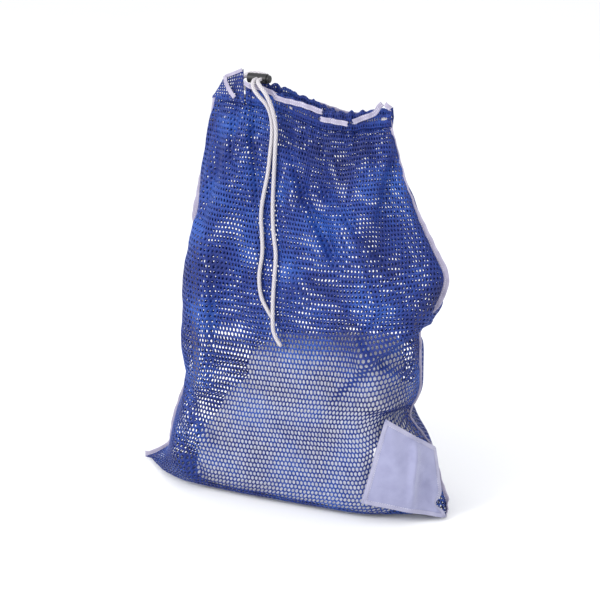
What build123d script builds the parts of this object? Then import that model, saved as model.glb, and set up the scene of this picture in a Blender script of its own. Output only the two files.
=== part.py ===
from build123d import *
import os
from math import radians, tan

# Mesh drawstring bag, standing upright and half filled with two folded cloths.
# Millimetres. X runs along the mouth, -Y is the front, +Z is up, the floor is Z = 0.

# ---- net bag -------------------------------------------------------------------
flat_width = 500.0        # from ear tip to ear tip
net_height = 567.0        # floor to the foot of the casing
net_thickness = 2.0       # the net with its small folds
floor_thickness = 2.0     # the net lying under the load
hinge_share = 0.725       # the back of the neck folds outwards above this share of the net
body_gap = 0.4            # between pieces of different bodies

# One row for each height of the bag: share of the net's height, how far the left and the
# right seam stand out as shares of half the flat width, half the depth in millimetres, and
# the distance from the left and the right seam to where the front runs straight.
profile = [
    (0.000, 0.80, 0.86, 68.0, 70.0, 110.0),
    (0.140, 0.79, 0.84, 80.0, 80.0, 110.0),
    (0.265, 0.68, 0.77, 82.0, 80.0, 95.0),
    (0.425, 0.71, 0.79, 74.0, 85.0, 90.0),
    (0.575, 0.73, 0.90, 60.0, 95.0, 100.0),
    (0.725, 0.61, 0.81, 46.0, 90.0, 95.0),
    (0.885, 0.52, 0.67, 34.0, 80.0, 80.0),
    (1.000, 0.47, 0.56, 24.0, 70.0, 70.0),
]

# ---- tapes, casing and patch ---------------------------------------------------
tape_thickness = 2.0      # side seam tape, across the seam
tape_width = 9.0          # side seam tape, as seen from the front
tape_grip = 4.0           # how far the tape reaches in between the two net layers
ear_tape_height = 4.0     # the tape where it lies along a bottom ear
casing_height = 28.0
casing_depth = 9.5        # front to back, through one casing tube
channel_gap = 0.5         # around the cord, inside the casing
mouth_depth = 44.0        # between the two cord runs at mid mouth
mouth_overhang = 10.0     # the cord loop's corners lie this far outside the net's corners
mouth_end_radius = 9.0    # how tightly the cord turns at a corner of the mouth
hem_width = 7.0
hem_thickness = 1.0
flap_rise = 26.0          # the casing's loose end stands this far above the casing
flap_width = 48.0
flap_thickness = 1.2
patch_size = 126.0
patch_thickness = 1.2
patch_lean = -12.0        # degrees, about the patch's own middle
patch_height = 70.0       # middle of the patch above the floor
patch_inset = 54.0        # middle of the patch from the right seam
patch_facing = (0.59, -0.81, 0.0)
binding_width = 6.0
binding_thickness = 0.8

# ---- cord and cord lock --------------------------------------------------------
cord_diameter = 5.5
exit_x = -66.0            # the casing tubes stop here and the cord comes out
first_leg_x = -47.5       # the leg nearer to the closed end of the barrel
leg_pitch = 6.2
lock_y = -12.5
lock_rise = 12.0          # middle of the lock above the casing
lock_diameter = 14.0
lock_length = 29.0
lock_wall = 1.5
lock_fit = 0.15           # radial play of the plunger in the barrel
bore_gap = 0.3            # around the cords, in the barrel and in the plunger
lip = 4.6                 # barrel left beyond the bore, at the open end
plunger_travel = 3.0
head_length = 4.5
spring_wire = 0.9
spring_pitch = 2.1
spring_play = 0.4

# ---- load ----------------------------------------------------------------------
cloth_gap = 3.0           # between the cloths and the net
cloth_rounding = 14.0
lower_cloth_height = 160.0
upper_cloth_height = 66.0
lower_cloth_width = 270.0
lower_cloth_depth = 126.0
upper_cloth_width = 196.0
upper_cloth_depth = 92.0
lower_cloth_x = 48.0
upper_cloth_x = 48.0

# Routes of the two free cord legs, from where each cord run leaves the casing, through the
# lock and down the front of the bag. They are chosen by hand, clear of the net.
left_leg_points = [
    (-66.0, -15.3, 581.0),
    (-77.0, -15.3, 581.0),
    (-86.5, -11.0, 589.0),
    (-85.5, -2.5, 600.0),
    (-75.0, 4.5, 606.0),
    (-62.0, 7.5, 607.5),
    (-52.0, 5.5, 607.0),
    (-47.5, -1.0, 607.0),
    (-47.5, -31.0, 607.0),
    (-44.0, -37.0, 597.0),
    (-33.5, -39.5, 587.5),
    (-21.5, -39.0, 577.0),
    (-15.5, -37.5, 559.0),
    (-14.5, -38.0, 536.0),
    (-16.5, -40.0, 514.0),
    (-18.0, -44.5, 482.0),
    (-23.5, -49.0, 451.0),
    (-26.0, -52.5, 423.0),
    (-22.0, -56.5, 397.0),
    (-18.5, -61.5, 371.0),
    (-22.5, -67.0, 342.0),
    (-17.5, -72.5, 314.0),
    (-7.0, -76.0, 298.0),
    (4.0, -77.5, 284.0),
]
right_leg_points = [
    (-66.0, 15.3, 581.0),
    (-77.0, 15.3, 581.0),
    (-87.0, 14.5, 589.0),
    (-87.5, 13.5, 600.0),
    (-77.5, 15.0, 607.0),
    (-62.0, 17.0, 608.0),
    (-47.5, 14.0, 607.0),
    (-41.3, 5.5, 607.0),
    (-41.3, -31.0, 607.0),
    (-31.0, -41.0, 602.0),
    (-19.0, -45.0, 591.0),
    (-10.5, -44.0, 572.0),
    (-7.0, -40.5, 545.0),
    (-8.5, -42.0, 516.0),
    (-8.0, -46.0, 486.0),
    (-8.0, -50.5, 450.0),
    (-6.5, -54.5, 421.0),
    (-3.0, -58.5, 397.0),
    (3.0, -63.0, 373.0),
    (3.0, -69.0, 344.0),
    (4.0, -76.5, 313.0),
    (6.5, -83.0, 287.0),
    (9.0, -87.0, 263.0),
    (22.0, -87.5, 249.0),
]

# ---- values worked out from the sizes above -------------------------------------
half_width = flat_width / 2
net_top = net_height
bag_top = net_height + casing_height
cord_height = net_height + casing_height / 2
hinge_height = floor_thickness + hinge_share * (net_height - floor_thickness)
cord_radius = cord_diameter / 2
mouth_left = -profile[-1][1] * half_width - mouth_overhang
mouth_right = profile[-1][2] * half_width + mouth_overhang
front_face = Plane.XZ.offset(tape_thickness / 2)
back_face = Plane.XZ.offset(-tape_thickness / 2)
loose_back_face = Plane.XZ.offset(-tape_thickness / 2 - body_gap)


def row_height(share):
    return floor_thickness + share * (net_height - floor_thickness)


def bag_section(row, inset):
    share, left, right, depth, left_shoulder, right_shoulder = row
    left_tip = -left * half_width
    right_tip = right * half_width
    with BuildSketch(Plane.XY.offset(row_height(share))) as outline:
        with BuildLine():
            Polyline(
                (left_tip, 0),
                (left_tip + left_shoulder, -depth),
                (right_tip - right_shoulder, -depth),
                (right_tip, 0),
                (right_tip - right_shoulder, depth),
                (left_tip + left_shoulder, depth),
                close=True,
            )
        make_face()
        left_corners = outline.vertices().filter_by(lambda v: v.X < 0 and abs(v.Y) > depth / 2)
        fillet(left_corners, left_shoulder)
        right_corners = outline.vertices().filter_by(lambda v: v.X > 0 and abs(v.Y) > depth / 2)
        right_corners = right_corners.sort_by(Axis.X)[-2:]
        fillet(right_corners, right_shoulder)
        if inset:
            offset(amount=-inset, kind=Kind.INTERSECTION)
    return outline.sketch


def envelope(inset):
    """The bag's outer shape, drawn in by the inset all round."""
    with BuildPart() as shape:
        loft([bag_section(row, inset) for row in profile])
    return shape.part


net_outside = envelope(0)
net_inside = envelope(net_thickness)


def mouth_outline(height, growth):
    """The lens shape of the mouth at the given height, grown all round."""
    middle = (mouth_left + mouth_right) / 2
    with BuildSketch(Plane.XY.offset(height)) as outline:
        with BuildLine():
            ThreePointArc((mouth_left, 0), (middle, -mouth_depth / 2), (mouth_right, 0))
            ThreePointArc((mouth_right, 0), (middle, mouth_depth / 2), (mouth_left, 0))
        make_face()
        fillet(outline.vertices(), mouth_end_radius)
        if growth:
            offset(amount=growth)
    return outline.sketch


def mouth_ring(outside, inside, bottom, height):
    with BuildPart() as band:
        extrude(mouth_outline(bottom, outside), amount=height, dir=(0, 0, 1))
        extrude(mouth_outline(bottom, inside), amount=height, dir=(0, 0, 1), mode=Mode.SUBTRACT)
    return band.part


def cord_loop(radius):
    """A round tube of the given radius along the whole cord loop inside the casing."""
    path = mouth_outline(cord_height, 0).face().outer_wire()
    with BuildPart() as tube:
        with BuildSketch(Plane(origin=path @ 0, z_dir=path % 0)):
            Circle(radius)
        sweep(path=path)
    return tube.part


net_slice = section(net_outside, section_by=Plane.XZ)


def seam_outline(side):
    """A side seam tape as seen from the front: up the seam, with a stretch along the ear."""
    edge = [row[1] if side < 0 else row[2] for row in profile]
    foot_x = side * edge[0] * half_width
    head_x = side * edge[-1] * half_width
    ear = side * half_width - foot_x
    tape_middle = side * (tape_width / 2 - tape_grip)
    outer_slice = Pos(side * (tape_width - tape_grip), 0, 0) * net_slice
    inner_slice = Pos(-side * tape_grip, 0, 0) * net_slice
    with BuildSketch(Plane.XZ) as outline:
        add(outer_slice)
        add(inner_slice, mode=Mode.SUBTRACT)
        with Locations((head_x + tape_middle, net_top + casing_height / 2)):
            Rectangle(tape_width, casing_height)
        with Locations((foot_x + ear / 2, floor_thickness + ear_tape_height / 2)):
            Rectangle(abs(ear), ear_tape_height)
    return outline.sketch


# ---- the net ----------------------------------------------------------------------
with BuildPart() as base_net:
    with BuildSketch():
        share, left, right, depth, left_shoulder, right_shoulder = profile[0]
        with BuildLine():
            Polyline(
                (-half_width, 0),
                (-left * half_width + left_shoulder, -depth),
                (right * half_width - right_shoulder, -depth),
                (half_width, 0),
                (right * half_width - right_shoulder, depth),
                (-left * half_width + left_shoulder, depth),
                close=True,
            )
        make_face()
    extrude(amount=floor_thickness)

with BuildPart() as front_net:
    add(net_outside)
    add(net_inside, mode=Mode.SUBTRACT)
    split(bisect_by=front_face, keep=Keep.TOP)

with BuildPart() as back_net_lower:
    add(net_outside)
    add(net_inside, mode=Mode.SUBTRACT)
    split(bisect_by=back_face, keep=Keep.BOTTOM)
    split(bisect_by=Plane.XY.offset(hinge_height), keep=Keep.BOTTOM)

with BuildPart() as back_net_upper:
    add(net_outside)
    add(net_inside, mode=Mode.SUBTRACT)
    split(bisect_by=loose_back_face, keep=Keep.BOTTOM)
    split(bisect_by=Plane.XY.offset(hinge_height + body_gap), keep=Keep.TOP)

# ---- side seam tapes --------------------------------------------------------------
with BuildPart() as left_seam_tape:
    extrude(seam_outline(-1), amount=tape_thickness / 2, both=True)

with BuildPart() as right_seam_tape:
    extrude(seam_outline(1), amount=tape_thickness / 2, both=True)

# ---- casing: two tubes of folded net with the cord running inside ------------------
casing_loop = mouth_ring(casing_depth / 2, -casing_depth / 2, net_top, casing_height)
cord_channel = cord_loop(cord_radius + channel_gap)
hem_loop = mouth_ring(casing_depth / 2 + hem_thickness, casing_depth / 2, net_top, hem_width)
lock_open_end = first_leg_x + leg_pitch + cord_radius + bore_gap + lip
lock_closed_end = lock_open_end - lock_length
flap_right = lock_closed_end - body_gap
flap_face = lock_y - lock_diameter / 2 - body_gap

with BuildPart() as front_casing:
    add(casing_loop)
    add(cord_channel, mode=Mode.SUBTRACT)
    split(bisect_by=front_face, keep=Keep.TOP)
    split(bisect_by=Plane.YZ.offset(exit_x), keep=Keep.TOP)
    with BuildSketch(Plane.XZ.offset(-flap_face)):
        with BuildLine():
            Polyline(
                (flap_right, net_top),
                (flap_right, bag_top + flap_rise),
                (flap_right - 0.65 * flap_width, bag_top + flap_rise / 3),
                (flap_right - flap_width, net_top),
                close=True,
            )
        make_face()
    extrude(amount=flap_thickness)

with BuildPart() as back_casing:
    add(casing_loop)
    add(cord_channel, mode=Mode.SUBTRACT)
    split(bisect_by=loose_back_face, keep=Keep.BOTTOM)
    split(bisect_by=Plane.YZ.offset(exit_x + body_gap), keep=Keep.TOP)

with BuildPart() as front_hem_tape:
    add(hem_loop)
    split(bisect_by=front_face, keep=Keep.TOP)
    split(bisect_by=Plane.YZ.offset(flap_right), keep=Keep.TOP)

with BuildPart() as back_hem_tape:
    add(hem_loop)
    split(bisect_by=loose_back_face, keep=Keep.BOTTOM)
    split(bisect_by=Plane.YZ.offset(exit_x + body_gap), keep=Keep.TOP)

# ---- patch on the right bottom corner ----------------------------------------------
patch_x = profile[0][2] * half_width - patch_inset
patch_plane = Plane(
    origin=(patch_x, 0, patch_height),
    x_dir=(-patch_facing[1], patch_facing[0], 0),
    z_dir=patch_facing,
).rotated((0, 0, patch_lean))
patch_outside = envelope(-patch_thickness)
binding_outside = envelope(-patch_thickness - binding_thickness)
patch_reach = 3 * profile[0][3]

with BuildPart() as id_patch:
    add(patch_outside)
    add(net_outside, mode=Mode.SUBTRACT)
    with BuildSketch(patch_plane):
        Rectangle(patch_size, patch_size)
    extrude(amount=patch_reach, both=True, mode=Mode.INTERSECT)
    split(bisect_by=front_face, keep=Keep.TOP)

with BuildPart() as id_patch_binding:
    add(binding_outside)
    add(patch_outside, mode=Mode.SUBTRACT)
    with BuildSketch(patch_plane):
        Rectangle(patch_size, patch_size)
        Rectangle(patch_size - 2 * binding_width, patch_size - 2 * binding_width, mode=Mode.SUBTRACT)
    extrude(amount=patch_reach, both=True, mode=Mode.INTERSECT)
    split(bisect_by=front_face, keep=Keep.TOP)

# ---- cord inside the casing ---------------------------------------------------------
cord_run = cord_loop(cord_radius)

with BuildPart() as front_cord_run:
    add(cord_run)
    split(bisect_by=Plane.XZ, keep=Keep.TOP)
    split(bisect_by=Plane.YZ.offset(exit_x), keep=Keep.TOP)

with BuildPart() as back_cord_run:
    add(cord_run)
    split(bisect_by=Plane.XZ.offset(-body_gap), keep=Keep.BOTTOM)
    split(bisect_by=Plane.YZ.offset(exit_x + body_gap), keep=Keep.TOP)


# ---- free cord legs -----------------------------------------------------------------
def bend_radii(points):
    """Each bend is as wide as 0.45 of the shorter of its two runs allows."""
    corners = [Vector(*point) for point in points]
    radii = []
    for before, corner, after in zip(corners, corners[1:], corners[2:]):
        run_in = corner - before
        run_out = after - corner
        turn = radians(run_in.get_angle(run_out))
        shorter = min(run_in.length, run_out.length)
        radii.append(0.45 * shorter / tan(turn / 2))
    return radii


def cord_leg(name, points):
    radii = bend_radii(points)
    with BuildPart() as leg:
        with BuildLine() as route:
            FilletPolyline(*points, radius=radii)
        path = route.wire()
        with BuildSketch(Plane(origin=path @ 0, z_dir=path % 0)) as end:
            Circle(cord_radius)
        sweep(path=path)
    print(name, "length", round(path.length, 1), "radii", [round(radius, 1) for radius in radii])
    print(name, "volume over section times length", leg.part.volume / (end.sketch.area * path.length))
    return leg.part


with BuildPart() as left_cord_leg:
    add(cord_leg("left_cord_leg", left_leg_points))

with BuildPart() as right_cord_leg:
    add(cord_leg("right_cord_leg", right_leg_points))

# ---- cord lock: barrel, plunger and spring, along X -----------------------------------
lock_z = bag_top + lock_rise
bore_width = leg_pitch + cord_diameter + 2 * bore_gap
bore_height = cord_diameter + 2 * bore_gap
bore_x = first_leg_x + leg_pitch / 2
cavity_radius = lock_diameter / 2 - lock_wall
plunger_radius = cavity_radius - lock_fit
plunger_back = bore_x - bore_width / 2 - 1.5 * plunger_travel
slot_left = bore_x - bore_width / 2
slot_right = bore_x + bore_width / 2 + plunger_travel
spring_room = plunger_back - (lock_closed_end + lock_wall)
spring_radius = cavity_radius - spring_wire / 2 - spring_play


def lock_plane(x):
    return Plane(origin=(x, lock_y, lock_z), x_dir=(0, 1, 0), z_dir=(1, 0, 0))


with BuildPart() as cord_lock_barrel:
    with BuildSketch(lock_plane(lock_closed_end)):
        Circle(lock_diameter / 2)
    extrude(amount=lock_length)
    fillet(cord_lock_barrel.edges().filter_by(GeomType.CIRCLE), lock_wall / 2)
    with BuildSketch(lock_plane(lock_closed_end + lock_wall)):
        Circle(cavity_radius)
    extrude(amount=lock_length, mode=Mode.SUBTRACT)
    with BuildSketch(Plane(origin=(bore_x, lock_y, lock_z), x_dir=(1, 0, 0), z_dir=(0, -1, 0))):
        SlotOverall(bore_width, bore_height)
    extrude(amount=lock_diameter, both=True, mode=Mode.SUBTRACT)

with BuildPart() as cord_lock_plunger:
    with BuildSketch(lock_plane(plunger_back)):
        Circle(plunger_radius)
    extrude(amount=lock_open_end + head_length - plunger_back)
    fillet(cord_lock_plunger.faces().sort_by(Axis.X)[-1].edges(), lock_wall)
    slot_x = (slot_left + slot_right) / 2
    with BuildSketch(Plane(origin=(slot_x, lock_y, lock_z), x_dir=(1, 0, 0), z_dir=(0, -1, 0))):
        SlotOverall(slot_right - slot_left, bore_height)
    extrude(amount=lock_diameter, both=True, mode=Mode.SUBTRACT)

with BuildPart() as cord_lock_spring:
    with BuildLine():
        coil = Helix(
            pitch=spring_pitch,
            height=spring_room - spring_wire,
            radius=spring_radius,
            center=(lock_closed_end + lock_wall + spring_wire / 2, lock_y, lock_z),
            direction=(1, 0, 0),
        )
    with BuildSketch(Plane(origin=coil @ 0, z_dir=coil % 0)):
        Circle(spring_wire / 2)
    sweep(path=coil, is_frenet=True)

# ---- the load: two folded cloths ------------------------------------------------------
load_space = envelope(net_thickness + cloth_gap)

with BuildPart() as lower_cloth:
    with BuildSketch(Plane.XY.offset(floor_thickness)):
        with Locations((lower_cloth_x, 0)):
            RectangleRounded(lower_cloth_width, lower_cloth_depth, cloth_rounding)
    extrude(amount=lower_cloth_height)
    fillet(lower_cloth.faces().sort_by(Axis.Z)[-1].edges(), cloth_rounding)
    add(load_space, mode=Mode.INTERSECT)

with BuildPart() as upper_cloth:
    with BuildSketch(Plane.XY.offset(floor_thickness + lower_cloth_height)):
        with Locations((upper_cloth_x, 0)):
            RectangleRounded(upper_cloth_width, upper_cloth_depth, cloth_rounding)
    extrude(amount=upper_cloth_height)
    fillet(upper_cloth.faces().sort_by(Axis.Z)[-1].edges(), cloth_rounding)
    add(load_space, mode=Mode.INTERSECT)

# ---- files ----------------------------------------------------------------------------
os.makedirs("parts", exist_ok=True)

base_net.part.label = "base_net"
export_step(base_net.part, "parts/base_net.step")
front_net.part.label = "front_net"
export_step(front_net.part, "parts/front_net.step")
back_net_lower.part.label = "back_net_lower"
export_step(back_net_lower.part, "parts/back_net_lower.step")
back_net_upper.part.label = "back_net_upper"
export_step(back_net_upper.part, "parts/back_net_upper.step")
left_seam_tape.part.label = "left_seam_tape"
export_step(left_seam_tape.part, "parts/left_seam_tape.step")
right_seam_tape.part.label = "right_seam_tape"
export_step(right_seam_tape.part, "parts/right_seam_tape.step")
front_casing.part.label = "front_casing"
export_step(front_casing.part, "parts/front_casing.step")
back_casing.part.label = "back_casing"
export_step(back_casing.part, "parts/back_casing.step")
front_hem_tape.part.label = "front_hem_tape"
export_step(front_hem_tape.part, "parts/front_hem_tape.step")
back_hem_tape.part.label = "back_hem_tape"
export_step(back_hem_tape.part, "parts/back_hem_tape.step")
id_patch.part.label = "id_patch"
export_step(id_patch.part, "parts/id_patch.step")
id_patch_binding.part.label = "id_patch_binding"
export_step(id_patch_binding.part, "parts/id_patch_binding.step")
front_cord_run.part.label = "front_cord_run"
export_step(front_cord_run.part, "parts/front_cord_run.step")
back_cord_run.part.label = "back_cord_run"
export_step(back_cord_run.part, "parts/back_cord_run.step")
left_cord_leg.part.label = "left_cord_leg"
export_step(left_cord_leg.part, "parts/left_cord_leg.step")
right_cord_leg.part.label = "right_cord_leg"
export_step(right_cord_leg.part, "parts/right_cord_leg.step")
cord_lock_barrel.part.label = "cord_lock_barrel"
export_step(cord_lock_barrel.part, "parts/cord_lock_barrel.step")
cord_lock_plunger.part.label = "cord_lock_plunger"
export_step(cord_lock_plunger.part, "parts/cord_lock_plunger.step")
cord_lock_spring.part.label = "cord_lock_spring"
export_step(cord_lock_spring.part, "parts/cord_lock_spring.step")
lower_cloth.part.label = "lower_cloth"
export_step(lower_cloth.part, "parts/lower_cloth.step")
upper_cloth.part.label = "upper_cloth"
export_step(upper_cloth.part, "parts/upper_cloth.step")
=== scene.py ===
import math

import bmesh
import bpy
import numpy as np
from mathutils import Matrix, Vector


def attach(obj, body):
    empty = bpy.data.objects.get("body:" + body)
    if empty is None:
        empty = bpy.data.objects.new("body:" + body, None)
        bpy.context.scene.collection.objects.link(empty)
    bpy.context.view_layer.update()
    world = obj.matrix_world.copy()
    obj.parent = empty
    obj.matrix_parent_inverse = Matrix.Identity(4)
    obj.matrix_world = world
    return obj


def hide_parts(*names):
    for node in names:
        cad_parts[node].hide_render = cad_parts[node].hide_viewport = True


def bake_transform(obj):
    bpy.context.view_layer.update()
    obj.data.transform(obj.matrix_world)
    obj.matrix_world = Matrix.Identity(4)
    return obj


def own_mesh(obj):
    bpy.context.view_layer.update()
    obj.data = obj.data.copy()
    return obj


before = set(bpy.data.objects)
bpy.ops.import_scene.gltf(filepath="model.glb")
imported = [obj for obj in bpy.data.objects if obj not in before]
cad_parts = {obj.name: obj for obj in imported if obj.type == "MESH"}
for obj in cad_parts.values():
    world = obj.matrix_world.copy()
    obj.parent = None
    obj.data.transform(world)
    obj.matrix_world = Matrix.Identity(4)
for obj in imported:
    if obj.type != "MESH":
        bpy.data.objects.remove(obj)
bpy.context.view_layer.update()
scene = bpy.context.scene


# ---- small mesh helpers ----

def addObject(name, data):
    piece = bpy.data.objects.new(name, data)
    scene.collection.objects.link(piece)
    return piece


def meshPiece(name, corners, faces, material=None, smooth=True, uvs=None):
    mesh = bpy.data.meshes.new(name)
    mesh.from_pydata([tuple(map(float, c)) for c in corners], [], [tuple(map(int, f)) for f in faces])
    if uvs is not None:  # one pair for each corner point
        layer = mesh.uv_layers.new(name="UVMap")
        loops = np.empty(len(mesh.loops), dtype=np.int32)
        mesh.loops.foreach_get("vertex_index", loops)
        layer.data.foreach_set("uv", np.asarray(uvs, dtype=np.float32)[loops].ravel())
    mesh.polygons.foreach_set("use_smooth", [smooth] * len(mesh.polygons))
    if material:
        mesh.materials.append(material)
    mesh.update()
    return addObject(name, mesh)


def gridFaces(rows, columns, closeRows=False, closeColumns=False):
    faces = []
    for r in range(rows if closeRows else rows - 1):
        for c in range(columns if closeColumns else columns - 1):
            r2, c2 = (r + 1) % rows, (c + 1) % columns
            faces.append((r * columns + c, r * columns + c2, r2 * columns + c2, r2 * columns + c))
    return faces


def applyModifiers(piece):
    # the evaluated mesh becomes the piece's own, and its modifiers go
    bpy.context.view_layer.update()
    evaluated = piece.evaluated_get(bpy.context.evaluated_depsgraph_get())
    mesh = bpy.data.meshes.new_from_object(evaluated)
    mesh.name = piece.name
    piece.modifiers.clear()
    old = piece.data
    piece.data = mesh
    bpy.data.meshes.remove(old)
    return piece


def editMesh(piece, change):
    # opens the mesh for editing, makes the change, and turns the faces outwards
    work = bmesh.new()
    work.from_mesh(piece.data)
    change(work)
    bmesh.ops.recalc_face_normals(work, faces=work.faces)
    work.to_mesh(piece.data)
    work.free()
    piece.data.update()


def fixNormals(piece):
    editMesh(piece, lambda work: None)


def smoothStep(x, low, high):
    v = np.clip((np.asarray(x, dtype=float) - low) / (high - low), 0.0, 1.0)
    return v * v * (3 - 2 * v)


def unit(v):
    v = np.asarray(v, dtype=float)
    return v / np.maximum(np.linalg.norm(v, axis=-1, keepdims=True), 1e-12)


def alongLine(points, count):
    # evenly spaced points on a line of runs, softened by a Catmull-Rom pass
    p = np.asarray(points, dtype=float)
    ends = np.vstack([2 * p[0] - p[1], p, 2 * p[-1] - p[-2]])
    fine = []
    for k in range(1, len(ends) - 2):
        a, b, c, d = ends[k - 1], ends[k], ends[k + 1], ends[k + 2]
        for u in np.linspace(0, 1, 14, endpoint=False):
            square, cube = 2 * a - 5 * b + 4 * c - d, 3 * b - a - 3 * c + d
            fine.append(0.5 * (2 * b + (c - a) * u + square * u * u + cube * u ** 3))
    fine.append(ends[-2])
    fine = np.array(fine)
    run = np.concatenate([[0], np.cumsum(np.linalg.norm(np.diff(fine, axis=0), axis=1))])
    where = np.linspace(0, run[-1], count)
    return np.stack([np.interp(where, run, fine[:, k]) for k in range(3)], axis=1)


# ---- materials ----

def newMaterial(name):
    material = bpy.data.materials.new(name)
    material.use_nodes = True
    nodes = material.node_tree.nodes
    nodes.clear()
    out = nodes.new("ShaderNodeOutputMaterial")
    shader = nodes.new("ShaderNodeBsdfPrincipled")
    material.node_tree.links.new(shader.outputs[0], out.inputs[0])
    return material, nodes, material.node_tree.links, shader


def ramp(nodes, links, value, stops):
    node = nodes.new("ShaderNodeValToRGB")
    band = node.color_ramp
    while len(band.elements) < len(stops):
        band.elements.new(0.5)
    for element, (place, colour) in zip(band.elements, stops):
        element.position = place
        element.color = (*colour, 1)
    links.new(value, node.inputs[0])
    return node.outputs[0]


def noise(nodes, links, coords, scale, detail=3.0, rough=0.5, stretch=None):
    if stretch:
        mapping = nodes.new("ShaderNodeMapping")
        mapping.inputs["Scale"].default_value = stretch
        links.new(coords, mapping.inputs[0])
        coords = mapping.outputs[0]
    node = nodes.new("ShaderNodeTexNoise")
    node.inputs["Scale"].default_value = scale
    node.inputs["Detail"].default_value = detail
    node.inputs["Roughness"].default_value = rough
    links.new(coords, node.inputs["Vector"])
    return node.outputs[0]


def maths(nodes, links, kind, a, b=None):
    node = nodes.new("ShaderNodeMath")
    node.operation = kind
    for k, value in enumerate((a, b)):
        if value is None:
            continue
        if isinstance(value, (int, float)):
            node.inputs[k].default_value = value
        else:
            links.new(value, node.inputs[k])
    return node.outputs[0]


def scaled(nodes, links, value, factor, base):
    return maths(nodes, links, "ADD", maths(nodes, links, "MULTIPLY", value, factor), base)


def mixed(nodes, links, one, oneShare, other, otherShare):
    # a weighted sum of two values
    first = maths(nodes, links, "MULTIPLY", one, oneShare)
    return maths(nodes, links, "ADD", first, maths(nodes, links, "MULTIPLY", other, otherShare))


def ridges(nodes, links, value):
    # rounded ridges side by side, from 0 to 1
    return maths(nodes, links, "ABSOLUTE", maths(nodes, links, "SINE", value))


def bump(nodes, links, shader, height, strength, distance):
    node = nodes.new("ShaderNodeBump")
    node.inputs["Strength"].default_value = strength
    node.inputs["Distance"].default_value = distance
    links.new(height, node.inputs["Height"])
    links.new(node.outputs[0], shader.inputs["Normal"])


netYarn = {
    "dark": (0.004, 0.009, 0.085),
    "mid": (0.008, 0.025, 0.180),
    "light": (0.024, 0.085, 0.370),
    "roughness": 0.42,
    "sheen": 0.03,
    "filaments": 2600.0,
}


def netYarnMaterial():
    material, nodes, links, shader = newMaterial("netYarn")
    place = nodes.new("ShaderNodeTexCoord").outputs["Object"]
    broad = noise(nodes, links, place, 14.0, 3.0)
    fine = noise(nodes, links, place, 420.0, 2.0)
    shade = mixed(nodes, links, broad, 0.6, fine, 0.4)
    stops = [(0.34, netYarn["dark"]), (0.5, netYarn["mid"]), (0.68, netYarn["light"])]
    colour = ramp(nodes, links, shade, stops)
    links.new(colour, shader.inputs["Base Color"])
    strands = noise(nodes, links, place, netYarn["filaments"], 2.0, 0.6, (1.0, 1.0, 0.25))
    bump(nodes, links, shader, strands, 0.5, 0.0003)
    rough = scaled(nodes, links, fine, 0.18, netYarn["roughness"] - 0.09)
    links.new(rough, shader.inputs["Roughness"])
    shader.inputs["Sheen Weight"].default_value = netYarn["sheen"]
    shader.inputs["Sheen Roughness"].default_value = 0.4
    shader.inputs["Specular IOR Level"].default_value = 0.28
    return material


def clothMaterial(name, colour, shade, ribs, ribHeight, roughness=0.75, sheen=0.2):
    # a woven tape or cloth: fine crossing threads, soft mottling, and painted shade in the low spots of the
    # weave
    material, nodes, links, shader = newMaterial(name)
    place = nodes.new("ShaderNodeTexCoord").outputs["Object"]
    parts = nodes.new("ShaderNodeSeparateXYZ")
    links.new(place, parts.inputs[0])
    across = maths(nodes, links, "ADD", parts.outputs["X"], parts.outputs["Y"])
    warp = maths(nodes, links, "SINE", maths(nodes, links, "MULTIPLY", across, ribs))
    weft = maths(nodes, links, "SINE", maths(nodes, links, "MULTIPLY", parts.outputs["Z"], ribs))
    weave = maths(nodes, links, "MULTIPLY", warp, weft)
    mottle = noise(nodes, links, place, 60.0, 4.0)
    # the colour follows the mottling and the weave: the weave's low spots get painted shade, the shade colour
    # darkest there
    both = maths(nodes, links, "ADD", maths(nodes, links, "MULTIPLY", weave, 0.12), mottle)
    links.new(ramp(nodes, links, both, [(0.3, shade), (0.62, colour)]), shader.inputs["Base Color"])
    bump(nodes, links, shader, weave, 0.35, ribHeight)
    links.new(scaled(nodes, links, mottle, 0.2, roughness - 0.1), shader.inputs["Roughness"])
    shader.inputs["Sheen Weight"].default_value = sheen
    return material


def braidMaterial(name, colour, shade, strands, pitch):
    # crossing strands of a braided cord, from the cord's own UV: u round it, v along it in metres; the
    # grooves between the strands get painted shade
    material, nodes, links, shader = newMaterial(name)
    uv = nodes.new("ShaderNodeUVMap")
    uv.uv_map = "UVMap"
    parts = nodes.new("ShaderNodeSeparateXYZ")
    links.new(uv.outputs[0], parts.inputs[0])
    turn = maths(nodes, links, "MULTIPLY", parts.outputs["X"], math.pi * strands)
    run = maths(nodes, links, "MULTIPLY", parts.outputs["Y"], math.pi / pitch)
    oneWay = ridges(nodes, links, maths(nodes, links, "ADD", turn, run))
    otherWay = ridges(nodes, links, maths(nodes, links, "SUBTRACT", turn, run))
    height = maths(nodes, links, "MULTIPLY", oneWay, otherWay)
    place = nodes.new("ShaderNodeTexCoord").outputs["Object"]
    fuzz = noise(nodes, links, place, 900.0, 2.0)
    strandHeightWithPaintedShade = mixed(nodes, links, height, 0.75, fuzz, 0.3)
    # the colour is darkest in the grooves between the strands (painted shade), mixed with the fuzz's random
    # tone
    links.new(ramp(nodes, links, strandHeightWithPaintedShade, [(0.12, shade), (0.55, colour)]), shader.inputs["Base Color"])
    bump(nodes, links, shader, strandHeightWithPaintedShade, 0.8, 0.0006)
    links.new(scaled(nodes, links, fuzz, 0.2, 0.55), shader.inputs["Roughness"])
    shader.inputs["Sheen Weight"].default_value = 0.25
    return material


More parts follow.
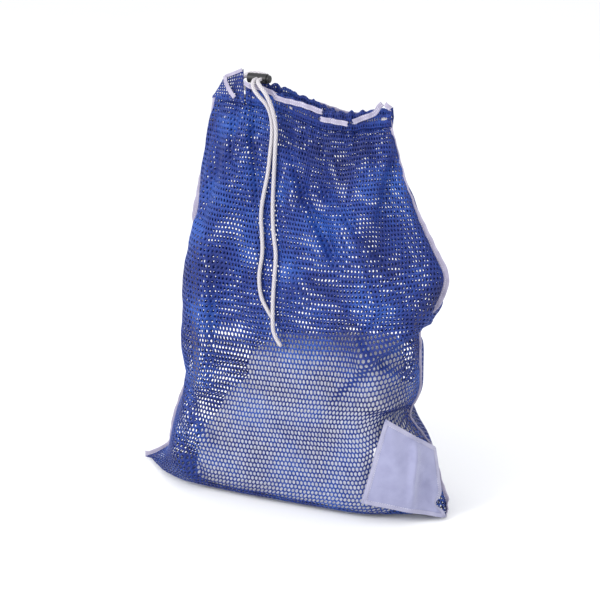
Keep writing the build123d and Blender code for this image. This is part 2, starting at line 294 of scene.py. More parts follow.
def terryMaterial():
    # white towelling with short loops
    material, nodes, links, shader = newMaterial("towelling")
    place = nodes.new("ShaderNodeTexCoord").outputs["Object"]
    loops = nodes.new("ShaderNodeTexVoronoi")
    loops.inputs["Scale"].default_value = 620.0
    links.new(place, loops.inputs["Vector"])
    broad = noise(nodes, links, place, 22.0, 4.0)
    stops = [(0.3, (0.80, 0.80, 0.86)), (0.62, (0.94, 0.93, 0.95))]
    links.new(ramp(nodes, links, broad, stops), shader.inputs["Base Color"])
    clumps = maths(nodes, links, "MULTIPLY", noise(nodes, links, place, 160.0, 3.0), 1.2)
    height = maths(nodes, links, "ADD", loops.outputs["Distance"], clumps)
    bump(nodes, links, shader, height, 0.6, 0.0016)
    links.new(scaled(nodes, links, broad, 0.15, 0.82), shader.inputs["Roughness"])
    shader.inputs["Sheen Weight"].default_value = 0.4
    return material


def plasticMaterial(name, colour, roughness, grain=900.0):
    material, nodes, links, shader = newMaterial(name)
    place = nodes.new("ShaderNodeTexCoord").outputs["Object"]
    dots = noise(nodes, links, place, grain, 2.0)
    wear = noise(nodes, links, place, 60.0, 4.0)
    light = tuple(min(1.0, c * 1.8 + 0.002) for c in colour)
    links.new(ramp(nodes, links, wear, [(0.45, colour), (0.75, light)]), shader.inputs["Base Color"])
    bump(nodes, links, shader, dots, 0.25, 0.0001)
    links.new(scaled(nodes, links, wear, 0.2, roughness - 0.1), shader.inputs["Roughness"])
    return material


def steelMaterial():
    material, nodes, links, shader = newMaterial("springSteel")
    place = nodes.new("ShaderNodeTexCoord").outputs["Object"]
    marks = noise(nodes, links, place, 1200.0, 2.0, 0.5, (0.2, 1.0, 1.0))
    stops = [(0.3, (0.42, 0.42, 0.43)), (0.7, (0.62, 0.61, 0.60))]
    links.new(ramp(nodes, links, marks, stops), shader.inputs["Base Color"])
    shader.inputs["Metallic"].default_value = 1.0
    links.new(scaled(nodes, links, marks, 0.2, 0.25), shader.inputs["Roughness"])
    bump(nodes, links, shader, marks, 0.15, 0.00005)
    return material


yarn = netYarnMaterial()
# each second colour is partly darker mottling and partly painted shade in the low spots of the weave or the
# braid
tapeCloth = clothMaterial("tapeCloth", (0.38, 0.35, 0.46), (0.26, 0.24, 0.34), 5200.0, 0.00025)
patchCloth = clothMaterial("patchCloth", (0.30, 0.305, 0.46), (0.25, 0.255, 0.40), 6500.0, 0.00015, 0.8, 0.25)
bindingCloth = clothMaterial("bindingCloth", (0.36, 0.355, 0.48), (0.27, 0.27, 0.40), 5200.0, 0.00025)
threadCloth = clothMaterial("sewingThread", (0.80, 0.78, 0.86), (0.6, 0.58, 0.7), 9000.0, 0.0001, 0.6)
cordBraid = braidMaterial("cordBraid", (0.58, 0.55, 0.57), (0.28, 0.26, 0.29), 6, 0.0062)
towelling = terryMaterial()
lockPlastic = plasticMaterial("lockPlastic", (0.004, 0.004, 0.005), 0.5)
springSteel = steelMaterial()
print("materials ready")

# ---- camera, floor and light ----

cameraSetup = {
    "turn": 25.0, "lift": 18.0, "distance": 2.6, "aim": (0.0, 0.0, 0.288), "lens": 109.08, "shift": 0.0108
}


def placeCamera():
    turn, lift = math.radians(cameraSetup["turn"]), math.radians(cameraSetup["lift"])
    data = bpy.data.cameras.new("camera")
    data.lens, data.sensor_width = cameraSetup["lens"], 36.0
    data.shift_x = cameraSetup["shift"]
    data.clip_end = 60.0
    eye = bpy.data.objects.new("camera", data)
    away = Vector((math.sin(turn) * math.cos(lift), -math.cos(turn) * math.cos(lift), math.sin(lift)))
    eye.location = Vector(cameraSetup["aim"]) + away * cameraSetup["distance"]
    eye.rotation_euler = (math.pi / 2 - lift, 0, turn)
    scene.collection.objects.link(eye)
    scene.camera = eye


lightSetup = {
    "key": ((-1.3, -2.0, 1.7), 1.0, 44.0),
    "fill": ((1.6, -2.0, 1.2), 1.8, 12.0),
    "top": ((0.1, 0.6, 2.8), 2.0, 9.0),
    "world": 1.12,
}


def placeLights():
    for name in ("key", "fill", "top"):
        spot, size, power = lightSetup[name]
        data = bpy.data.lights.new(name, "AREA")
        data.shape, data.size, data.energy = "SQUARE", size, power
        lamp = bpy.data.objects.new(name, data)
        lamp.location = spot
        lamp.rotation_euler = (Vector((0, 0, 0.25)) - Vector(spot)).to_track_quat("-Z", "Y").to_euler()
        scene.collection.objects.link(lamp)
    world = bpy.data.worlds.new("studio")
    scene.world = world
    world.use_nodes = True
    sky = world.node_tree.nodes["Background"]
    sky.inputs[0].default_value = (0.97, 0.98, 1.0, 1)
    sky.inputs[1].default_value = lightSetup["world"]


def placeFloor():
    material, nodes, links, shader = newMaterial("floorPaint")
    place = nodes.new("ShaderNodeTexCoord").outputs["Object"]
    stops = [(0.3, (0.88, 0.88, 0.885)), (0.7, (0.9, 0.9, 0.9))]
    links.new(ramp(nodes, links, noise(nodes, links, place, 1.5), stops), shader.inputs["Base Color"])
    shader.inputs["Roughness"].default_value = 0.95
    level = -0.0006
    corners = [(-9, -6, level), (9, -6, level), (9, 14, level), (-9, 14, level)]
    floor = meshPiece("floor", corners, [(0, 1, 2, 3)], material, False)


placeCamera()
placeLights()
placeFloor()
scene.view_settings.view_transform = "Standard"
print("camera, light and floor placed")

# ---- the two free cord legs ----

cordSetup = {
    "radius": 0.00275,
    "sides": 14,
    "step": 0.0035,
    "leftExit": (-0.066, -0.0153, 0.581),
    "rightExit": (-0.066, 0.0153, 0.581),
    "leftRoute": [
        (-0.066, -0.0153, 0.581), (-0.077, -0.0153, 0.581), (-0.0865, -0.011, 0.589),
        (-0.0855, -0.0025, 0.600), (-0.075, 0.0045, 0.606), (-0.062, 0.0075, 0.6075),
        (-0.052, 0.0055, 0.607), (-0.0475, -0.001, 0.607), (-0.0475, -0.0188, 0.607),
        (-0.0475, -0.031, 0.607), (-0.044, -0.037, 0.597), (-0.0335, -0.0395, 0.5875),
        (-0.0215, -0.039, 0.577), (-0.0155, -0.0375, 0.559), (-0.0145, -0.038, 0.536),
        (-0.0165, -0.040, 0.514), (-0.018, -0.0445, 0.482), (-0.0235, -0.049, 0.451),
        (-0.026, -0.0525, 0.423), (-0.022, -0.0565, 0.397), (-0.0185, -0.0615, 0.371),
        (-0.0225, -0.067, 0.342), (-0.0175, -0.0725, 0.314), (-0.007, -0.076, 0.298),
        (0.004, -0.0775, 0.284),
    ],
    "rightRoute": [
        (-0.066, 0.0153, 0.581), (-0.077, 0.0153, 0.581), (-0.087, 0.0145, 0.589),
        (-0.0875, 0.0135, 0.600), (-0.0775, 0.015, 0.607), (-0.062, 0.017, 0.608), (-0.0475, 0.014, 0.607),
        (-0.0413, 0.0055, 0.607), (-0.0413, -0.0158, 0.607), (-0.0413, -0.031, 0.607),
        (-0.031, -0.041, 0.602), (-0.019, -0.045, 0.591), (-0.0105, -0.044, 0.572),
        (-0.007, -0.0405, 0.545), (-0.0085, -0.042, 0.516), (-0.008, -0.046, 0.486),
        (-0.008, -0.0505, 0.450), (-0.0065, -0.0545, 0.421), (-0.003, -0.0585, 0.397),
        (0.003, -0.063, 0.373), (0.003, -0.069, 0.344), (0.004, -0.0765, 0.313), (0.0065, -0.083, 0.287),
        (0.009, -0.087, 0.263), (0.022, -0.0875, 0.249),
    ],
}


def splineLine(name, route):
    curve = bpy.data.curves.new(name, "CURVE")
    curve.dimensions = "3D"
    curve.resolution_u = 16
    spline = curve.splines.new("NURBS")
    spline.points.add(len(route) - 1)
    for point, place in zip(spline.points, route):
        point.co = (*place, 1)
    spline.order_u = 3
    spline.use_endpoint_u = True
    holder = addObject(name, curve)
    bpy.context.view_layer.update()
    mesh = bpy.data.meshes.new_from_object(holder.evaluated_get(bpy.context.evaluated_depsgraph_get()))
    line = np.array([v.co[:] for v in mesh.vertices])
    bpy.data.objects.remove(holder)
    return line


def lineFrames(line):
    # two steady side directions along a line
    tangents = unit(np.gradient(line, axis=0))
    side = unit(np.cross(tangents[0], (0.0, 0.0, 1.0) if abs(tangents[0][2]) < 0.9 else (1.0, 0.0, 0.0)))
    sides = []
    for t in tangents:
        side = unit(side - t * np.dot(side, t))
        sides.append(side)
    sides = np.array(sides)
    return sides, np.cross(tangents, sides)


def cordTube(name, line, radius, sides, material, step=None, crushedEnds=True):
    run = np.concatenate([[0], np.cumsum(np.linalg.norm(np.diff(line, axis=0), axis=1))])
    count = max(8, int(run[-1] / (step or radius)))
    where = np.linspace(0, run[-1], count)
    points = np.stack([np.interp(where, run, line[:, k]) for k in range(3)], axis=1)
    one, two = lineFrames(points)
    around = np.linspace(0, 2 * np.pi, sides, endpoint=False)
    corners, uvs = [], []
    swell = np.ones(count)
    if crushedEnds:
        swell[0], swell[-1] = 0.82, 0.8
    for k in range(count):
        for a in around:
            corners.append(points[k] + radius * swell[k] * (math.cos(a) * one[k] + math.sin(a) * two[k]))
            uvs.append((a / (2 * math.pi), where[k]))
    faces = gridFaces(count, sides, closeColumns=True)
    faces.append(tuple(range(sides))[::-1])
    faces.append(tuple((count - 1) * sides + k for k in range(sides)))
    piece = meshPiece(name, corners, faces, material, True, uvs)
    fixNormals(piece)
    return piece, points


leftLine = splineLine("leftLegLine", cordSetup["leftRoute"])
rightLine = splineLine("rightLegLine", cordSetup["rightRoute"])
legSize = cordSetup["radius"], cordSetup["sides"], cordBraid, cordSetup["step"]
leftLeg, leftPath = cordTube("leftCordPiece", leftLine, *legSize)
rightLeg, rightPath = cordTube("rightCordPiece", rightLine, *legSize)
for leg, path, start, node in (
    (leftLeg, leftPath, cordSetup["leftExit"], "left_cord_leg"),
    (rightLeg, rightPath, cordSetup["rightExit"], "right_cord_leg"),
):
    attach(leg, "bag")
    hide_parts(node)

# ---- the shape of the filled bag ----

bagForm = {
    "columns": 86,       # holes across one panel
    "rows": 88,          # rows of holes up one panel
    "hem": 0.567,
    "lens": 0.56,        # above this height the mouth is a plain lens
    # height, left seam, right seam, depth, left and right shoulder, roundness
    "front": [
        (0.030, -0.204, 0.234, 0.076, 0.060, 0.105, 0.75),
        (0.077, -0.195, 0.223, 0.081, 0.070, 0.095, 0.75),
        (0.102, -0.187, 0.215, 0.082, 0.072, 0.085, 0.75),
        (0.124, -0.178, 0.193, 0.083, 0.070, 0.065, 0.75),
        (0.146, -0.163, 0.176, 0.083, 0.062, 0.045, 0.75),
        (0.172, -0.165, 0.194, 0.083, 0.055, 0.050, 0.70),
        (0.210, -0.168, 0.195, 0.080, 0.045, 0.052, 0.62),
        (0.250, -0.166, 0.194, 0.076, 0.038, 0.058, 0.60),
        (0.282, -0.165, 0.190, 0.072, 0.036, 0.066, 0.60),
        (0.315, -0.165, 0.220, 0.068, 0.038, 0.090, 0.65),
        (0.350, -0.162, 0.229, 0.064, 0.042, 0.100, 0.70),
        (0.396, -0.153, 0.207, 0.057, 0.052, 0.095, 0.75),
        (0.441, -0.145, 0.184, 0.050, 0.058, 0.085, 0.80),
        (0.495, -0.132, 0.168, 0.041, 0.064, 0.080, 0.85),
        (0.537, -0.127, 0.154, 0.030, 0.070, 0.080, 0.90),
        (0.567, -0.123, 0.147, 0.0225, 0.080, 0.085, 1.00),
    ],
    "floorEdge": [
        (-0.250, -0.001), (-0.228, -0.022), (-0.201, -0.044), (-0.155, -0.066), (-0.116, -0.072),
        (-0.051, -0.074), (0.044, -0.071), (0.107, -0.067), (0.137, -0.063), (0.170, -0.048),
        (0.204, -0.030), (0.227, -0.018), (0.244, -0.011),
    ],
    "foldLine": [
        (-0.250, -0.001), (-0.13, -0.012), (0.0, -0.02), (0.128, -0.026), (0.19, -0.022), (0.244, -0.011)
    ],
    # along the mouth, and the rim's height above its level
    "rim": [
        (-0.125, 0.008), (-0.078, 0.0065), (-0.066, 0.002), (-0.046, 0.0015), (-0.028, 0.000),
        (0.000, -0.006), (0.030, -0.015), (0.060, -0.023), (0.092, -0.023), (0.120, -0.017),
        (0.146, -0.014),
    ],
    "gathers": (20.0, 0.0030, 0.050),    # waves across, height, how far down they fade
    "pleats": (8.6, 0.0042, 0.120),
    "waves": (3.7, 0.0040),
}
# front folds: start x z, end x z, width, height outwards
frontCreases = [
    (0.004, 0.520, 0.046, 0.430, 0.011, 0.0055),
    (0.046, 0.430, 0.085, 0.365, 0.013, 0.0060),
    (0.052, 0.480, 0.121, 0.411, 0.010, 0.0050),
    (0.121, 0.411, 0.150, 0.375, 0.012, 0.0050),
    (0.150, 0.555, 0.140, 0.470, 0.009, 0.0050),
    (0.140, 0.470, 0.136, 0.400, 0.010, 0.0040),
    (-0.085, 0.560, -0.082, 0.470, 0.008, 0.0045),
    (-0.058, 0.560, -0.040, 0.440, 0.008, 0.0040),
    (-0.108, 0.540, -0.128, 0.420, 0.009, 0.0045),
    (0.216, 0.302, 0.151, 0.240, 0.010, 0.0085),
    (0.151, 0.240, 0.098, 0.185, 0.010, 0.0070),
    (0.128, 0.272, 0.160, 0.233, 0.009, 0.0060),
    (0.160, 0.233, 0.216, 0.192, 0.010, 0.0070),
    (-0.100, 0.330, -0.098, 0.170, 0.010, 0.0050),
    (-0.155, 0.165, -0.104, 0.085, 0.011, 0.0080),
    (0.195, 0.165, 0.150, 0.172, 0.009, 0.0050),
    (-0.020, 0.380, 0.060, 0.300, 0.020, 0.0030),
    (-0.135, 0.400, -0.080, 0.330, 0.018, 0.0035),
    (-0.155, 0.075, -0.118, 0.010, 0.012, 0.0060),
]
backCreases = [
    (-0.060, 0.545, -0.090, 0.400, 0.012, 0.0060),
    (0.020, 0.550, -0.030, 0.400, 0.013, 0.0055),
    (0.090, 0.550, 0.120, 0.390, 0.012, 0.0055),
    (0.030, 0.470, 0.080, 0.300, 0.016, 0.0050),
    (-0.160, 0.330, -0.060, 0.210, 0.012, 0.0070),
    (0.222, 0.306, 0.130, 0.220, 0.011, 0.0090),
    (-0.155, 0.160, -0.070, 0.130, 0.012, 0.0050),
    (0.190, 0.150, 0.110, 0.170, 0.012, 0.0050),
    (-0.020, 0.300, 0.060, 0.240, 0.018, 0.0040),
]


def rimDroop(x):
    # how far the mouth's rim hangs above or below its level height
    places, heights = zip(*bagForm["rim"])
    return np.interp(x, places, heights)


def sectionRise(x, left, right, leftShoulder, rightShoulder, rounding):
    # how far the cloth stands out at x, as a share of the section's depth
    fromLeft = np.clip((x - left) / leftShoulder, 0, 1)
    fromRight = np.clip((right - x) / rightShoulder, 0, 1)
    return (1 - (1 - fromLeft) ** 2) ** rounding * (1 - (1 - fromRight) ** 2) ** rounding


def sectionPoints(row, sign, shares):
    z, left, right, depth, leftShoulder, rightShoulder, rounding = row
    a = np.linspace(0, 1, 241)
    a = 0.5 - 0.5 * np.cos(np.pi * a)
    x = left + (right - left) * a
    rise = sectionRise(x, left, right, leftShoulder, rightShoulder, rounding)
    if z > bagForm["lens"]:
        middle, half = (left + right) / 2, (right - left) / 2
        rise = 1 - ((x - middle) / half) ** 2
    y = sign * depth * rise
    run = np.concatenate([[0], np.cumsum(np.hypot(np.diff(x), np.diff(y)))])
    where = shares * run[-1]
    return np.stack([np.interp(where, run, x), np.interp(where, run, y), np.full(len(shares), z)], axis=1)


def flatLine(points, shares, z, sign):
    p = np.array([(x, y, 0.0) for x, y in points])
    run = np.concatenate([[0], np.cumsum(np.linalg.norm(np.diff(p, axis=0), axis=1))])
    where = shares * run[-1]
    y = np.interp(where, run, p[:, 1])
    if sign > 0:
        y = -y - 0.006 * np.sin(np.pi * shares)
    return np.stack([np.interp(where, run, p[:, 0]), y, np.full(len(shares), z)], axis=1)


def panelGrid(sign):
    # one net panel as a grid: rows up the cloth, half columns across it
    shares = np.linspace(0, 1, 2 * bagForm["columns"] + 1)
    table = np.array(bagForm["front"])
    heights = np.linspace(table[0, 0], bagForm["hem"], 100)
    levels = []
    fold = flatLine(bagForm["foldLine"], shares, 0.0032 if sign < 0 else 0.0018, -1)
    edge = flatLine(bagForm["floorEdge"], shares, 0.0034 if sign < 0 else 0.0020, sign)
    levels += [fold, fold * 0.5 + edge * 0.5, fold * 0.12 + edge * 0.88]
    for z in heights:
        row = [z] + [np.interp(z, table[:, 0], table[:, k]) for k in range(1, 7)]
        levels.append(sectionPoints(row, sign, shares))
    levels = np.array(levels)
    # rounding between the floor and the upright cloth
    low = levels[3]
    turnUp = (edge * 0.72 + low * 0.28)[None] + [0, sign * 0.0015, -0.0030]
    levels = np.concatenate([levels[:3], turnUp, levels[3:]])
    steps = np.linalg.norm(np.diff(levels, axis=0), axis=2)
    run = np.concatenate([np.zeros((1, len(shares))), np.cumsum(steps, axis=0)])
    rows = bagForm["rows"] + 1
    grid = np.empty((rows, len(shares), 3))
    for c in range(len(shares)):
        where = np.linspace(0, run[-1, c], rows)
        for k in range(3):
            grid[:, c, k] = np.interp(where, run[:, c], levels[:, c, k])
    for _ in range(2):  # takes the hard turns out of the rows
        grid[1:-1] = 0.25 * grid[:-2] + 0.5 * grid[1:-1] + 0.25 * grid[2:]
    return grid, shares


def gridNormals(grid, sign):
    down = np.gradient(grid, axis=0)
    across = np.gradient(grid, axis=1)
    normals = unit(np.cross(across, down))
    flip = np.where((normals[..., 1] * sign) < 0, -1.0, 1.0)
    sideways = np.where(normals[..., 0] * grid[..., 0] < 0, -1.0, 1.0)
    flip = np.where(np.abs(normals[..., 1]) < 0.15, sideways, flip)
    return normals * flip[..., None]


def gatherWave(shares, z, phase=0.0):
    count, height, fade = bagForm["gathers"]
    pleatCount, pleatHeight, pleatFade = bagForm["pleats"]
    below = np.clip(bagForm["hem"] - z, 0, None)
    drift = 0.45 * np.sin(2 * np.pi * 2.7 * shares + 1.0 + phase)
    fine = np.sin(2 * np.pi * (count * shares + drift) + phase)
    fine = fine * height * np.exp(-below / fade) * (0.75 + 0.25 * np.sin(2 * np.pi * 5.3 * shares + phase))
    drift = 0.3 * np.sin(2 * np.pi * 1.7 * shares) + 0.5 * below
    pleat = np.sin(2 * np.pi * (pleatCount * shares + drift) + 1.3 * phase)
    pleat = pleat * pleatHeight * np.exp(-below / pleatFade) * smoothStep(below, 0.0, 0.035)
    waveCount, waveHeight = bagForm["waves"]
    wave = np.sin(2 * np.pi * (waveCount * shares + 1.4 * below + 0.2 * np.sin(9 * below)) + 0.6 + phase)
    wave = wave * waveHeight * smoothStep(z, 0.20, 0.40) * smoothStep(below, 0.02, 0.12)
    return fine + pleat + wave


def creaseField(grid, creases):
    # the shape of the folds, and how tightly the cells close along them
    total, tight = np.zeros(grid.shape[:2]), np.zeros(grid.shape[:2])
    x, z = grid[..., 0], grid[..., 2]
    for x0, z0, x1, z1, width, height in creases:
        dx, dz = x1 - x0, z1 - z0
        length = math.hypot(dx, dz)
        along = ((x - x0) * dx + (z - z0) * dz) / length ** 2
        off = ((x - x0) * dz - (z - z0) * dx) / length
        ends = smoothStep(along, -0.25, 0.2) * (1 - smoothStep(along, 0.8, 1.25))
        ridge = np.where(off > 0, np.exp(-(off / (1.9 * width)) ** 2), np.exp(-(off / (0.38 * width)) ** 2))
        ridge -= 0.55 * np.exp(-((off + 0.85 * width) / (0.55 * width)) ** 2)
        total += 1.7 * height * ridge * ends
        tight = np.maximum(tight, 38 * height * ends * np.exp(-((off + 0.35 * width) / (0.42 * width)) ** 2))
    return total, tight


def softNoise(grid, seed, size):
    # a few crossing sines, the same each time
    pick = np.random.default_rng(seed)
    total = np.zeros(grid.shape[:2])
    for _ in range(14):
        direction = unit(pick.normal(size=3))
        wave = pick.uniform(0.6, 1.6) / size
        total += np.sin(2 * np.pi * wave * (grid @ direction) + pick.uniform(0, 6.28))
    return total / 14


def seamFade(shares):
    return smoothStep(np.minimum(shares, 1 - shares), 0.0, 0.035)


def backDroop(x):
    # the back rim hangs a little lower than the front one
    return -0.008 * smoothStep(x, -0.04, 0.01) * (1 - smoothStep(x, 0.11, 0.145))


def shapePanel(sign, creases, phase):
    grid, shares = panelGrid(sign)
    normals = gridNormals(grid, sign)
    fade = seamFade(shares)[None, :]
    z = grid[..., 2]
    push = gatherWave(shares[None, :], z, phase) * smoothStep(z, 0.02, 0.20)
    folds, tight = creaseField(grid, creases)
    push += folds * smoothStep(z, 0.004, 0.03)
    push += 0.0055 * softNoise(grid, 11 + int(phase * 10), 0.11) * smoothStep(z, 0.02, 0.10)
    push += 0.0022 * softNoise(grid, 12 + int(phase * 10), 0.035) * smoothStep(z, 0.02, 0.10)
    keepLoad = 1 - 0.45 * (smoothStep(z, 0.03, 0.08) * (1 - smoothStep(z, 0.20, 0.26)))
    grid = grid + normals * (push * fade * keepLoad)[..., None]
    lift = smoothStep(z, 0.36, 0.567)
    grid[..., 2] += (rimDroop(grid[..., 0]) + (backDroop(grid[..., 0]) if sign > 0 else 0)) * lift
    return grid, shares, tight


# ---- the patch on the right bottom corner ----

patchForm = {
    # bottom left, top left, top right, bottom right
    "corners": [
        (0.140, -0.0765, 0.030), (0.170, -0.063, 0.157), (0.223, -0.006, 0.103), (0.2455, -0.0165, 0.0035)
    ],
    "bulge": 0.016,
    "thickness": 0.0011,
    "border": 0.048,   # as a share of the side
    "binding": (0.0060, 0.0009),
    "bindingLift": 0.0009,
    "threadLift": 0.00085,
    "count": 56,
}


def patchPoint(u, v, lift=0.0):
    bottomLeft, topLeft, topRight, bottomRight = np.array(patchForm["corners"])
    u, v = np.asarray(u, dtype=float)[..., None], np.asarray(v, dtype=float)[..., None]
    base = (
        (1 - u) * (1 - v) * bottomLeft + u * (1 - v) * bottomRight + u * v * topRight
        + (1 - u) * v * topLeft
    )
    outward = unit(np.array([0.56, -0.80, 0.12]))
    bulge = patchForm["bulge"] * (4 * u * (1 - u)) ** 0.8 * (0.55 + 0.45 * np.sin(np.pi * v))
    ends = smoothStep(v, 0.0, 0.25) * (1 - smoothStep(v, 0.75, 1.0))
    crease = 0.0075 * np.exp(-((u - 0.56 - 0.10 * (v - 0.4) ** 2) / 0.055) ** 2) * ends
    dent = -0.0130 * np.exp(-((u - 0.74) / 0.12) ** 2 - ((v - 0.38) / 0.28) ** 2)
    notch = -0.012 * np.exp(-((u - 1.0) / 0.10) ** 2 - ((v - 0.20) / 0.09) ** 2)
    sideways = np.array([0.80, 0.56, 0.0])
    ripple = 0.0012 * np.sin(2 * np.pi * (2.3 * u + 1.1 * v))
    return base + outward * (bulge + crease + dent + ripple + lift) + sideways * notch


def patchSides(inset, count, lift):
    # the patch's four sides in order, each a line a little inside its edge
    low, high = inset, 1 - inset
    corners = np.array([(low, low), (high, low), (high, high), (low, high), (low, low)])
    share = np.linspace(0, 1, count)[:, None]
    for a, b in zip(corners, corners[1:]):
        part = a + (b - a) * share
        yield part, patchPoint(part[:, 0], part[:, 1], lift)


def behindPatch(grid):
    # the net lies behind the patch and meets its border
    ticks = np.linspace(0, 1, 46)
    u, v = np.meshgrid(ticks, ticks)
    points = patchPoint(u, v).reshape(-1, 3)
    outward, across = np.array([0.5735, -0.8192, 0.0]), np.array([0.8192, 0.5735, 0.0])
    target = np.stack([points @ across, points[:, 2], points @ outward], axis=1)
    flat = grid.reshape(-1, 3)
    here = np.stack([flat @ across, flat[:, 2], flat @ outward], axis=1)
    near = np.where((flat[:, 0] > 0.09) & (flat[:, 2] < 0.20))[0]
    for k in near:
        gap = np.hypot(target[:, 0] - here[k, 0], target[:, 1] - here[k, 1])
        best = int(np.argmin(gap))
        limit = target[best, 2] - 0.0022 + max(0.0, gap[best] - 0.0035) * 0.5
        if here[k, 2] > limit:
            flat[k] += outward * (limit - here[k, 2])
        elif gap[best] < 0.0035 and here[k, 2] < limit - 0.006:
            flat[k] += outward * (limit - 0.006 - here[k, 2]) * 0.8
    return flat.reshape(grid.shape)


def behindCords(grid):
    flat = grid.reshape(-1, 3)
    cords = np.vstack([leftPath, rightPath])
    near = np.where((flat[:, 2] > 0.22) & (np.abs(flat[:, 0]) < 0.10))[0]
    for k in near:
        gap = np.hypot(cords[:, 0] - flat[k, 0], cords[:, 2] - flat[k, 2])
        front = cords[:, 1] < -0.030
        slope = cords[:, 1] + 0.0046 - np.clip(gap - 0.004, 0, None) * 0.7
        limit = np.max(np.where(front & (gap < 0.03), slope, -1.0))
        if flat[k, 1] < limit:
            flat[k, 1] = limit
    return flat.reshape(grid.shape)


frontGrid, shares, frontFolds = shapePanel(-1, frontCreases, 0.0)
frontGrid = behindCords(behindPatch(frontGrid))
backGrid, shares, backFolds = shapePanel(1, backCreases, 1.7)
frontGrid[..., 2] = np.maximum(frontGrid[..., 2], 0.0022)
backGrid[..., 2] = np.maximum(backGrid[..., 2], 0.0018)
for edge in (0, -1):  # both panels meet on the seams
    middle = 0.5 * (frontGrid[:, edge] + backGrid[:, edge])
    frontGrid[:, edge] = middle + [0, -0.0004, 0]
    backGrid[:, edge] = middle + [0, 0.0004, 0]
depths = round(float(-frontGrid[..., 1].min()), 4), round(float(backGrid[..., 1].max()), 4)
print("bag shaped, front and back depth", *depths)

# ---- net: a lattice turned into cells, each with its hole ----

netMesh = {
    "holeLow": 0.71,     # open share of a cell where the load stretches it
    "holeHigh": 0.51,    # and in the loose cloth above
    "low": 0.20,
    "high": 0.30,
    "backLess": 0.07,
    "uneven": 0.05,
    "seed": 7,
    "lift": -0.00028,
    "thickness": 0.00075,
    "split": 0.29,
}


def netTree():
    tree = bpy.data.node_groups.new("netCells", "GeometryNodeTree")
    face = tree.interface
    face.new_socket("Geometry", in_out="INPUT", socket_type="NodeSocketGeometry")
    unevenInput = face.new_socket("Unevenness", in_out="INPUT", socket_type="NodeSocketFloat")
    seedInput = face.new_socket("Seed", in_out="INPUT", socket_type="NodeSocketInt")
    liftInput = face.new_socket("Strand Lift", in_out="INPUT", socket_type="NodeSocketFloat")
    materialInput = face.new_socket("Yarn", in_out="INPUT", socket_type="NodeSocketMaterial")
    face.new_socket("Geometry", in_out="OUTPUT", socket_type="NodeSocketGeometry")
    nodes, links = tree.nodes, tree.links
    start, end = nodes.new("NodeGroupInput"), nodes.new("NodeGroupOutput")
    dual = nodes.new("GeometryNodeDualMesh")
    dual.inputs["Keep Boundaries"].default_value = True
    extrude = nodes.new("GeometryNodeExtrudeMesh")
    extrude.mode = "FACES"
    extrude.inputs["Individual"].default_value = True
    scale = nodes.new("GeometryNodeScaleElements")
    scale.domain = "FACE"
    remove = nodes.new("GeometryNodeDeleteGeometry")
    remove.domain = "FACE"
    shade = nodes.new("GeometryNodeSetShadeSmooth")
    shade.inputs["Shade Smooth"].default_value = True
    realize = nodes.new("GeometryNodeRealizeInstances")
    paint = nodes.new("GeometryNodeSetMaterial")
    links.new(start.outputs["Geometry"], dual.inputs[0])
    links.new(dual.outputs[0], extrude.inputs["Mesh"])
    links.new(start.outputs["Strand Lift"], extrude.inputs["Offset Scale"])
    links.new(extrude.outputs["Mesh"], scale.inputs["Geometry"])
    links.new(extrude.outputs["Top"], scale.inputs["Selection"])
    share, chance = nodes.new("GeometryNodeInputNamedAttribute"), nodes.new("FunctionNodeRandomValue")
    share.inputs["Name"].default_value = "holeShare"
    spread, total = nodes.new("ShaderNodeMath"), nodes.new("ShaderNodeMath")
    spread.operation, total.operation = "MULTIPLY", "ADD"
    chance.inputs[2].default_value, chance.inputs[3].default_value = -1.0, 1.0
    links.new(start.outputs["Seed"], chance.inputs["Seed"])
    links.new(chance.outputs[1], spread.inputs[0])
    links.new(start.outputs["Unevenness"], spread.inputs[1])
    links.new(share.outputs[0], total.inputs[0])
    links.new(spread.outputs[0], total.inputs[1])
    links.new(total.outputs[0], scale.inputs["Scale"])
    links.new(scale.outputs[0], remove.inputs["Geometry"])
    links.new(extrude.outputs["Top"], remove.inputs["Selection"])
    links.new(remove.outputs[0], shade.inputs["Geometry"])
    links.new(shade.outputs[0], realize.inputs[0])
    links.new(realize.outputs[0], paint.inputs["Geometry"])
    links.new(start.outputs["Yarn"], paint.inputs["Material"])
    links.new(paint.outputs[0], end.inputs[0])
    return tree, [socket.identifier for socket in (unevenInput, seedInput, liftInput, materialInput)]


netCells, netSockets = netTree()


def latticeMesh(name, grid, holes, sign, closeRows=False):
    # staggered points on the panel, joined by triangles; holes is the open share at each grid point
    rows, halves = grid.shape[:2]
    points, index, openShares = [], [], []
    for r in range(rows):
        picks = list(range(0, halves, 2)) if r % 2 == 0 else [0] + list(range(1, halves, 2)) + [halves - 1]
        index.append([])
        for c in picks:
            index[-1].append((c, len(points)))
            points.append(grid[r, c])
            openShares.append(holes[r, c])
    faces = []
    for r in range(rows if closeRows else rows - 1):
        low, high = index[r], index[(r + 1) % rows]
        a = b = 0
        while a < len(low) - 1 or b < len(high) - 1:
            canLow, canHigh = a < len(low) - 1, b < len(high) - 1
            if canLow and (not canHigh or low[a + 1][0] <= high[b + 1][0]):
                faces.append((low[a][1], low[a + 1][1], high[b][1]))
                a += 1
            else:
                faces.append((low[a][1], high[b + 1][1], high[b][1]))
                b += 1
    if sign > 0:
        faces = [f[::-1] for f in faces]
    piece = meshPiece(name, points, faces)
    shareLayer = piece.data.attributes.new("holeShare", "FLOAT", "POINT")
    shareLayer.data.foreach_set("value", np.array(openShares, dtype=np.float32))
    return piece


def bakeNet(piece):
    tool = piece.modifiers.new("netCells", "NODES")
    tool.node_group = netCells
    for socket, value in zip(netSockets, (netMesh["uneven"], netMesh["seed"], netMesh["lift"], yarn)):
        tool[socket] = value
    return applyModifiers(piece)


